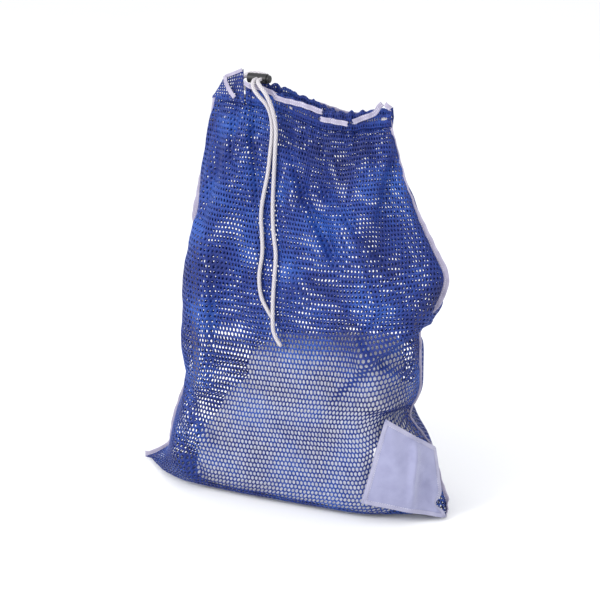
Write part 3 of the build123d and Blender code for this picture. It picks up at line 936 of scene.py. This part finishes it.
def splitByHeight(piece, height, names):
    # the net panel below and above the height, each part closed by its own thickness
    mesh = piece.data
    corners = np.empty(len(mesh.vertices) * 3)
    mesh.vertices.foreach_get("co", corners)
    corners = corners.reshape(-1, 3)
    parts = ([], [])
    for polygon in mesh.polygons:
        face = tuple(polygon.vertices)
        parts[int(corners[list(face)].mean(axis=0)[2] >= height)].append(face)
    made = []
    for faces, name in zip(parts, names):
        used = sorted({i for f in faces for i in f})
        renumber = {old: new for new, old in enumerate(used)}
        part = meshPiece(name, corners[used], [tuple(renumber[i] for i in f) for f in faces], yarn)
        thicken(part, netMesh["thickness"])
        made.append(part)
    bpy.data.objects.remove(piece)
    return made


def thicken(piece, thickness, offset=0.0):
    wall = piece.modifiers.new("wall", "SOLIDIFY")
    wall.thickness = thickness
    wall.offset = offset
    wall.use_even_offset = False
    return applyModifiers(piece)


def holeShares(grid, folds, less=0.0):
    # wide open where the load stretches the net, narrow in the loose cloth and along the folds
    slack = smoothStep(grid[..., 2], netMesh["low"], netMesh["high"])
    widths = netMesh["holeLow"] + (netMesh["holeHigh"] - netMesh["holeLow"]) * slack
    return np.clip(widths - folds - less, 0.22, 0.9)


frontSheet = bakeNet(latticeMesh("frontLattice", frontGrid, holeShares(frontGrid, frontFolds), -1))
frontLow, frontHigh = splitByHeight(frontSheet, netMesh["split"], ("frontNetLow", "frontNetHigh"))
backHoles = holeShares(backGrid, backFolds, netMesh["backLess"])
backSheet = bakeNet(latticeMesh("backLattice", backGrid, backHoles, 1))
backLow, backHigh = splitByHeight(backSheet, netMesh["split"], ("backNetLow", "backNetHigh"))
for piece in (frontLow, frontHigh, backLow, backHigh):
    print(piece.name, "has", sum(len(p.vertices) - 2 for p in piece.data.polygons), "triangles")

# ---- casing tubes round the mouth ----

casingForm = {"around": 10, "height": 0.0135, "depth": 0.0040, "lift": 0.0138, "exit": -0.066, "hole": 0.42}


def casingGrid(grid, sign):
    top = grid[-1]
    keep = np.where(top[:, 0] >= casingForm["exit"] - 0.001)[0]
    if len(keep) % 2 == 0:  # an even number of half columns
        keep = keep[1:]
    line = top[keep]
    share = shares[keep]
    count = casingForm["around"]
    rings = []
    flare = 0.0016 * np.sin(2 * np.pi * 19.0 * share + 0.7) + 0.0010 * np.sin(2 * np.pi * 33.0 * share)
    for r in range(count):
        a = 2 * np.pi * r / count
        up, out = math.sin(a), math.cos(a)
        y = line[:, 1] + sign * casingForm["depth"] * out * (1 + 0.25 * np.sin(2 * np.pi * 20 * share + 1.1))
        tall = casingForm["height"] + (flare if up > 0 else 0)
        z = line[:, 2] + casingForm["lift"] + tall * np.sign(up) * abs(up) ** 0.8
        rings.append(np.stack([line[:, 0], y + sign * 0.0008 * np.sin(5 * a + 140 * share), z], axis=1))
    return np.array(rings)


casings = []
for grid, sign, name in ((frontGrid, -1, "frontCasingNet"), (backGrid, 1, "backCasingNet")):
    rings = casingGrid(grid, sign)
    holes = np.full(rings.shape[:2], casingForm["hole"])
    tube = bakeNet(latticeMesh(name, rings, holes, sign, closeRows=True))
    fixNormals(tube)
    thicken(tube, netMesh["thickness"])
    casings.append(tube)
frontCasing, backCasing = casings
print("net and casings made")


# ---- ribbons: hems, seam tapes and bindings ----

def ribbon(name, line, wide, thick, widthWay, material, flutter=0.0):
    # a flat tape along a line; widthWay is the direction of its width at each point
    line = np.asarray(line)
    tangents = unit(np.gradient(line, axis=0))
    way = np.asarray(widthWay, dtype=float)
    if way.ndim == 1:
        way = np.tile(way, (len(line), 1))
    way = unit(way - tangents * np.sum(way * tangents, axis=1, keepdims=True))
    face = np.cross(tangents, way)
    under = [
        (-0.5, -0.30), (-0.47, -0.5), (-0.25, -0.5), (0.0, -0.5), (0.25, -0.5), (0.47, -0.5), (0.5, -0.30)
    ]
    profile = under + [(-w, -t) for w, t in under]
    corners, uvs = [], []
    run = np.concatenate([[0], np.cumsum(np.linalg.norm(np.diff(line, axis=0), axis=1))])
    for k in range(len(line)):
        turn = 2 * math.pi * run[k]
        curl = flutter * math.sin(turn / 0.021) + 0.6 * flutter * math.sin(turn / 0.034 + 1)
        for w, t in profile:
            corners.append(line[k] + way[k] * w * wide + face[k] * (t * thick + curl * (w + 0.5)))
            uvs.append((w + 0.5, run[k]))
    count = len(profile)
    faces = gridFaces(len(line), count, closeColumns=True)
    faces.append(tuple(range(count))[::-1])
    faces.append(tuple((len(line) - 1) * count + k for k in range(count)))
    piece = meshPiece(name, corners, faces, material, True, uvs)
    fixNormals(piece)
    return piece


def joinPieces(name, parts):
    corners, faces, uvs, offset = [], [], [], 0
    material = parts[0].data.materials[0]
    for part in parts:
        mesh = part.data
        corners += [v.co[:] for v in mesh.vertices]
        layer = mesh.uv_layers.active
        pairs = [(0.0, 0.0)] * len(mesh.vertices)
        for polygon in mesh.polygons:
            faces.append(tuple(i + offset for i in polygon.vertices))
            if layer:
                for loop in polygon.loop_indices:
                    pairs[mesh.loops[loop].vertex_index] = tuple(layer.data[loop].uv)
        uvs += pairs
        offset += len(mesh.vertices)
        bpy.data.objects.remove(part)
    return meshPiece(name, corners, faces, material, True, uvs)


hemForm = {
    "width": 0.0072,
    "thickness": 0.0010,
    "depth": 0.0225,    # half the mouth's depth, at its middle
    "middle": 0.012,
    "half": 0.137,
    "off": 0.0090,      # outside the net, over the casing
    "front": [
        [
            (-0.064, 0.6015), (-0.049, 0.597), (-0.043, 0.5985), (-0.018, 0.592), (-0.009, 0.5855),
            (0.027, 0.580), (0.056, 0.572)
        ],
        [(0.054, 0.5625), (0.075, 0.560), (0.092, 0.558)],
        [(0.099, 0.561), (0.112, 0.567), (0.127, 0.574), (0.134, 0.584), (0.1375, 0.588)],
        [(0.142, 0.588), (0.150, 0.582)],
    ],
    "back": [[(-0.064, 0.583), (-0.020, 0.577), (0.027, 0.568), (0.070, 0.560), (0.108, 0.563)]],
}


def hemTape(name, runs, sign):
    parts, lines = [], []
    for k, run in enumerate(runs):
        line = alongLine([(x, 0.0, z) for x, z in run], max(10, int(len(run) * 9)))
        lens = hemForm["depth"] * (1 - ((line[:, 0] - hemForm["middle"]) / hemForm["half"]) ** 2)
        line[:, 1] = sign * (np.maximum(lens, 0.004) + hemForm["off"] + 0.0009 * np.sin(line[:, 0] * 420 + k))
        lines.append(line)
        wide, thick = hemForm["width"], hemForm["thickness"]
        parts.append(ribbon(f"{name}{k}", line, wide, thick, (0, 0, 1), tapeCloth, 0.0007))
    return joinPieces(name, parts), lines


frontHem, frontHemLines = hemTape("frontHemPiece", hemForm["front"], -1)
backHem, backHemLines = hemTape("backHemPiece", hemForm["back"], 1)

seamForm = {
    "width": 0.0105,
    "thickness": 0.0016,
    # height, and how far the tape's middle stands outside the seam
    "left": [
        (0.0, 0.0012), (0.02, 0.000), (0.06, 0.0008), (0.13, 0.0012), (0.16, -0.005), (0.37, -0.005),
        (0.395, 0.003), (0.45, 0.002), (0.48, -0.003), (0.60, -0.004)
    ],
    "right": [
        (0.0, 0.001), (0.10, -0.003), (0.13, -0.003), (0.20, -0.002), (0.28, -0.002), (0.31, 0.0015),
        (0.36, 0.003), (0.42, 0.001), (0.47, -0.004), (0.60, -0.004)
    ],
}


def seamTape(name, edge, side):
    line = 0.5 * (frontGrid[:, edge] + backGrid[:, edge])
    line = alongLine(line[::2], 150)
    if side > 0:
        head = alongLine([line[-1], line[-1] + [-0.001, 0, 0.007], line[-1] + [-0.003, 0, 0.014]], 8)
        line = np.vstack([line, head[1:]])
    outward = unit(np.cross(np.gradient(line, axis=0), (0, 1, 0)))
    outward *= np.where(outward[:, :1] * side < 0, -1.0, 1.0)
    low = line[:, 2] < 0.02
    outward[low] = unit(outward[low] * 0.2 + np.array([0, 0, 1.0]))
    table = np.array(seamForm["left" if side < 0 else "right"])
    line = line + outward * np.interp(line[:, 2], table[:, 0], table[:, 1])[:, None]
    line[:, 1] += 0.0016 * np.sin(line[:, 2] * 75)
    line[:, 2] = np.maximum(line[:, 2], 0.0062)
    return ribbon(name, line, seamForm["width"], seamForm["thickness"], outward, tapeCloth, 0.0008), line


leftTape, leftTapeLine = seamTape("leftSeamPiece", 0, -1)
rightTape, rightTapeLine = seamTape("rightSeamPiece", -1, 1)


def patchPiece():
    count = patchForm["count"]
    ticks = np.linspace(0, 1, count)
    u, v = np.meshgrid(ticks, ticks)
    front = patchPoint(u, v).reshape(-1, 3)
    uvs = np.stack([u.ravel(), v.ravel()], axis=1)
    sheet = meshPiece("patchPiece", front, gridFaces(count, count), patchCloth, True, uvs)
    thicken(sheet, patchForm["thickness"], 0.0)
    strips = []
    for k, (part, line) in enumerate(patchSides(patchForm["border"] / 2, 41, patchForm["bindingLift"])):
        inner = part + 0.02 * unit(np.array([0.5, 0.5]) - part)
        inside = patchPoint(inner[:, 0], inner[:, 1], patchForm["bindingLift"])
        wide, thick = patchForm["binding"]
        strips.append(ribbon(f"binding{k}", line, wide, thick, inside - line, bindingCloth, 0.0002))
    return sheet, joinPieces("bindingPiece", strips)


patch, binding = patchPiece()
print("tapes and patch made")

# ---- sewing thread: short stitches along given lines ----

stitchForm = {"spacing": 0.0032, "length": 0.0012, "radius": 0.00028}


def stitchTree():
    tree = bpy.data.node_groups.new("stitchRow", "GeometryNodeTree")
    face = tree.interface
    face.new_socket("Geometry", in_out="INPUT", socket_type="NodeSocketGeometry")
    sizes = [
        face.new_socket(k, in_out="INPUT", socket_type="NodeSocketFloat")
        for k in ("Spacing", "Half Length", "Thread Radius")
    ]
    inputs = sizes + [face.new_socket("Thread", in_out="INPUT", socket_type="NodeSocketMaterial")]
    face.new_socket("Geometry", in_out="OUTPUT", socket_type="NodeSocketGeometry")
    nodes, links = tree.nodes, tree.links
    start, end = nodes.new("NodeGroupInput"), nodes.new("NodeGroupOutput")
    toCurve, resample = nodes.new("GeometryNodeMeshToCurve"), nodes.new("GeometryNodeResampleCurve")
    resample.mode = "LENGTH"
    links.new(start.outputs["Geometry"], toCurve.inputs["Mesh"])
    links.new(toCurve.outputs[0], resample.inputs["Curve"])
    links.new(start.outputs["Spacing"], resample.inputs["Length"])
    ball, size = nodes.new("GeometryNodeMeshUVSphere"), nodes.new("ShaderNodeCombineXYZ")
    ball.inputs["Segments"].default_value, ball.inputs["Rings"].default_value = 6, 4
    ball.inputs["Radius"].default_value = 1.0
    for target, source in (("X", "Thread Radius"), ("Y", "Thread Radius"), ("Z", "Half Length")):
        links.new(start.outputs[source], size.inputs[target])
    tangent, turn = nodes.new("GeometryNodeInputTangent"), nodes.new("FunctionNodeAlignRotationToVector")
    turn.axis = "Z"
    links.new(tangent.outputs[0], turn.inputs["Vector"])
    place = nodes.new("GeometryNodeInstanceOnPoints")
    links.new(resample.outputs[0], place.inputs["Points"])
    links.new(ball.outputs[0], place.inputs["Instance"])
    links.new(turn.outputs[0], place.inputs["Rotation"])
    links.new(size.outputs[0], place.inputs["Scale"])
    realize, paint = nodes.new("GeometryNodeRealizeInstances"), nodes.new("GeometryNodeSetMaterial")
    links.new(place.outputs[0], realize.inputs[0])
    links.new(realize.outputs[0], paint.inputs["Geometry"])
    links.new(start.outputs["Thread"], paint.inputs["Material"])
    links.new(paint.outputs[0], end.inputs[0])
    return tree, [socket.identifier for socket in inputs]


stitchRow, stitchSockets = stitchTree()


def stitches(name, lines):
    corners, edges = [], []
    for line in lines:
        first = len(corners)
        corners += [tuple(map(float, p)) for p in line]
        edges += [(first + k, first + k + 1) for k in range(len(line) - 1)]
    mesh = bpy.data.meshes.new(name)
    mesh.from_pydata(corners, edges, [])
    piece = addObject(name, mesh)
    tool = piece.modifiers.new("stitchRow", "NODES")
    tool.node_group = stitchRow
    values = [stitchForm[k] for k in ("spacing", "length", "radius")] + [threadCloth]
    for socket, value in zip(stitchSockets, values):
        tool[socket] = value
    return applyModifiers(piece)


def patchStitches():
    inset = 2.1 * patchForm["border"] / 2
    return [line for _, line in patchSides(inset, 60, patchForm["threadLift"])]


def hemStitches(lines, sign):
    # one row near each edge of the tape
    return [line + [0, sign * 0.0007, side * 0.0023] for line in lines for side in (-1, 1)]


def seamStitches():
    # a row on each face of both side tapes
    off = seamForm["thickness"] / 2 + 0.0001
    return [line + [0, side * off, 0] for line in (leftTapeLine, rightTapeLine) for side in (-1, 1)]


patchThread = stitches("patchThread", patchStitches())
frontHemThread = stitches("frontHemThread", hemStitches(frontHemLines, -1))
backHemThread = stitches("backHemThread", hemStitches(backHemLines, 1))
seamThread = stitches("seamThread", seamStitches())
print("stitches made")

# ---- loose corner of the casing at the left of the mouth ----

flapForm = {
    "outline": [(-0.118, 0.575), (-0.0655, 0.572), (-0.0665, 0.6195), (-0.096, 0.606)],
    "depth": -0.0208,
    "columns": 12,
    "rows": 9,
    "hole": 0.42,
    "strip": [
        (-0.0935, -0.0232, 0.6080), (-0.0925, -0.0236, 0.6000), (-0.0870, -0.0246, 0.5900),
        (-0.0780, -0.0262, 0.5800)
    ],
    "stripWidth": 0.0060,
    "tape": [(-0.094, -0.0225, 0.6075), (-0.081, -0.0225, 0.6130), (-0.0675, -0.0225, 0.6190)],
    "tapeWidth": 0.0045,
}


def flapGrid():
    a, b, c, d = (np.array([x, flapForm["depth"], z]) for x, z in flapForm["outline"])
    us = np.linspace(0, 1, 2 * flapForm["columns"] + 1)
    vs = np.linspace(0, 1, flapForm["rows"])
    grid = np.empty((len(vs), len(us), 3))
    for i, v in enumerate(vs):
        for j, u in enumerate(us):
            grid[i, j] = (1 - u) * (1 - v) * a + u * (1 - v) * b + u * v * c + (1 - u) * v * d
            grid[i, j, 1] += 0.0035 * (1 - v) * (1 - u) + 0.0012 * math.sin(9 * u + 4 * v)
    return grid


flapPoints = flapGrid()
flapHoles = np.full(flapPoints.shape[:2], flapForm["hole"])
flapNet = bakeNet(latticeMesh("flapNet", flapPoints, flapHoles, -1))
thicken(flapNet, netMesh["thickness"])
thick = hemForm["thickness"]
stripLine, flapLine = alongLine(flapForm["strip"], 20), alongLine(flapForm["tape"], 16)
flapStrip = ribbon("flapStripPiece", stripLine, flapForm["stripWidth"], thick, (1, 0, 0.3), tapeCloth, 0.0003)
flapTape = ribbon("flapTapePiece", flapLine, flapForm["tapeWidth"], thick, (0, 0, 1), tapeCloth, 0.0003)

# ---- cord inside the casing ----

def innerCord(name, grid, sign):
    top = grid[-1]
    line = top[top[:, 0] > casingForm["exit"]][::4].copy()
    line[:, 2] += casingForm["lift"]
    line[:, 1] -= sign * 0.0004
    line[:, 1] = np.convolve(np.pad(line[:, 1], 3, mode="edge"), np.ones(7) / 7, mode="valid")
    start = np.array(cordSetup["leftExit"] if sign < 0 else cordSetup["rightExit"])
    line[0] = start
    smooth = alongLine(line, 90)
    return cordTube(name, smooth, cordSetup["radius"], 10, cordBraid, 0.005, False)[0]


frontRun = innerCord("frontCordRun", frontGrid, -1)
backRun = innerCord("backCordRun", backGrid, 1)

# ---- the spring inside the cord lock ----

springForm = {
    "start": (-0.06108, -0.0125, 0.607), "room": 0.006, "radius": 0.00465, "wire": 0.00045, "pitch": 0.0021,
    "travel": 0.003
}


def lockSpring():
    x, y, z = springForm["start"]
    wire, radius = springForm["wire"], springForm["radius"]
    rise = springForm["room"] - 2 * wire
    turn = np.linspace(0, 2 * math.pi * rise / springForm["pitch"], 160)
    along = x + wire + rise * turn / turn[-1]
    line = np.stack([along, y + radius * np.cos(turn), z + radius * np.sin(turn)], axis=1)
    return cordTube("lockSpring", line, wire, 10, springSteel, 0.0004, False)[0]


spring = lockSpring()

# ---- the load: two folded towels ----

towelForm = {
    "clear": 0.0065,
    "around": 132,
    "up": 56,
    "squareness": (0.17, 0.14, 0.8),    # round the sides, towards top and bottom, and in height
    "lower": {
        "low": (-0.096, -0.069, 0.0035), "high": (0.190, 0.066, 0.168), "layers": 6, "seed": 3,
        "slope": 0.008, "spread": 0.050
    },
    "upper": {
        "low": (-0.054, -0.054, 0.160), "high": (0.156, 0.050, 0.234), "layers": 3, "seed": 5,
        "slope": 0.014, "spread": 0.0
    },
}


def insideBag(points):
    # keeps points a few millimetres within the net
    table = np.array(bagForm["front"])
    z = np.clip(points[:, 2], table[0, 0], table[-1, 0])
    section = [np.interp(z, table[:, 0], table[:, k]) for k in range(1, 7)]
    left, right, depth, leftShoulder, rightShoulder, rounding = section
    x = np.clip(points[:, 0], left + 0.012, right - 0.014)
    rise = sectionRise(x, left, right, leftShoulder, rightShoulder, rounding)
    room = np.maximum(depth * rise - towelForm["clear"], 0.004)
    edge = np.array(bagForm["floorEdge"])
    floorRoom = np.interp(x, edge[:, 0], -edge[:, 1]) - 0.0045
    rising = floorRoom + (room - floorRoom) * smoothStep(points[:, 2], 0.004, 0.03)
    room = np.where(points[:, 2] < 0.03, rising, room)
    return np.stack([x, np.clip(points[:, 1], -room, room), points[:, 2]], axis=1)


def rounded(value, power):
    return np.sign(value) * abs(value) ** power


def closePoles(work):
    bmesh.ops.remove_doubles(work, verts=work.verts, dist=0.0002)
    bmesh.ops.holes_fill(work, edges=[e for e in work.edges if e.is_boundary])


def towel(name, form):
    low, high = np.array(form["low"]), np.array(form["high"])
    middle, half = (low + high) / 2, (high - low) / 2
    around, up = towelForm["around"], towelForm["up"]
    sides, ends, tall = towelForm["squareness"]
    corners = []
    for r in range(up):
        b = -math.pi / 2 + math.pi * r / (up - 1)
        for c in range(around):
            a = 2 * math.pi * c / around
            x = rounded(math.cos(a), sides) * abs(math.cos(b)) ** ends
            y = rounded(math.sin(a), sides) * abs(math.cos(b)) ** ends
            z = rounded(math.sin(b), tall)
            corners.append((x, y, z))
    points = np.array(corners) * half + middle
    share = (points[:, 2] - low[2]) / (high[2] - low[2])
    side = np.clip(np.linalg.norm(np.array(corners)[:, :2], axis=1) - 0.55, 0, 1)
    groove = np.abs(np.sin(math.pi * share * form["layers"])) ** 0.35
    inward = unit(np.array(corners) * np.array([1, 1, 0.0001]))
    wrinkle = softNoise(points[None], form["seed"], 0.05)[0]
    points -= inward * ((1 - groove) * 0.0045 * side + 0.002 * (wrinkle + 0.5))[:, None]
    tilt = form["slope"] * (points[:, 0] - middle[0]) / half[0]
    points[:, 2] += (tilt + 0.004 * wrinkle) * smoothStep(share, 0.2, 1.0)
    leftward = smoothStep(-np.array(corners)[:, 0], 0.2, 1.0)
    sag = form["spread"] * (1 - smoothStep(share, 0.45, 0.85)) * leftward
    points[:, 0] -= sag * (1 - 0.35 * smoothStep(share, 0.0, 0.4))
    points[:, 2] = np.maximum(points[:, 2], 0.0035)
    points = insideBag(points)
    faces = gridFaces(up, around, closeColumns=True)
    piece = meshPiece(name, points, faces, towelling)
    editMesh(piece, closePoles)
    piece.data.polygons.foreach_set("use_smooth", [True] * len(piece.data.polygons))
    return piece


lowerTowel = towel("lowerTowel", towelForm["lower"])
upperTowel = towel("upperTowel", towelForm["upper"])
print("towels made")

# ---- what carries each piece ----

for piece, node, slot in (
    (frontCasing, "front_casing", "net"), (frontHem, "front_hem_tape", "tape"),
    (leftTape, "left_seam_tape", "tape"), (rightTape, "right_seam_tape", "tape"),
    (patch, "id_patch", "patch"), (binding, "id_patch_binding", "patch"),
    (frontRun, "front_cord_run", "cord"), (lowerTowel, "lower_cloth", "cloth"),
    (upperTowel, "upper_cloth", "cloth"), (frontLow, "base_net", "net"), (frontHigh, "front_net", "net"),
    (backLow, "back_net_lower", "net"), (flapNet, None, "net"), (flapTape, None, "tape"),
    (flapStrip, None, "tape"), (patchThread, None, "tape"), (frontHemThread, None, "tape"),
    (seamThread, None, "tape"),
):
    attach(piece, "bag")
    if node:
        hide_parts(node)
# the back of the mouth: its pieces are baked in place and not attached to a body
for piece, node, slot in (
    (backHigh, "back_net_upper", "net"), (backCasing, "back_casing", "net"),
    (backHem, "back_hem_tape", "tape"), (backRun, "back_cord_run", "cord"), (backHemThread, None, "tape"),
):
    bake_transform(piece)
    if node:
        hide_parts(node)


# flat sizes of the cloth, and the least share of a panel that its yarn may cover
sheetSizes = {"width": 0.508, "low": 0.355, "high": 0.300, "patch": 0.126, "leastYarn": 0.31}


def yarnArea(piece, tall):
    # the yarn's own area, without the holes: half the thin skin's, within the panel's flat size
    whole = sheetSizes["width"] * tall
    area = sum(p.area for p in piece.data.polygons) / 2
    print(piece.name, "area", round(area, 4), "of", round(whole, 4))
    return round(min(max(area, sheetSizes["leastYarn"] * whole), whole), 4)


for piece, part, held, load in (
    (frontLow, "low", "stretched", ["lower_cloth"]), (frontHigh, "high", "gathered", []),
    (backLow, "low", "stretched", ["lower_cloth"]), (backHigh, "high", "gathered", []),
):
    tall = sheetSizes[part]
    yarnArea(piece, tall)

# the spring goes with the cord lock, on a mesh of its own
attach(spring, "cord_lock")
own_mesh(spring)
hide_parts("cord_lock_spring")

for node in ("cord_lock_barrel", "cord_lock_plunger"):
    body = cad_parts[node]
    body.data.materials.clear()
    body.data.materials.append(lockPlastic)
    for slot in body.material_slots:
        slot.material = lockPlastic
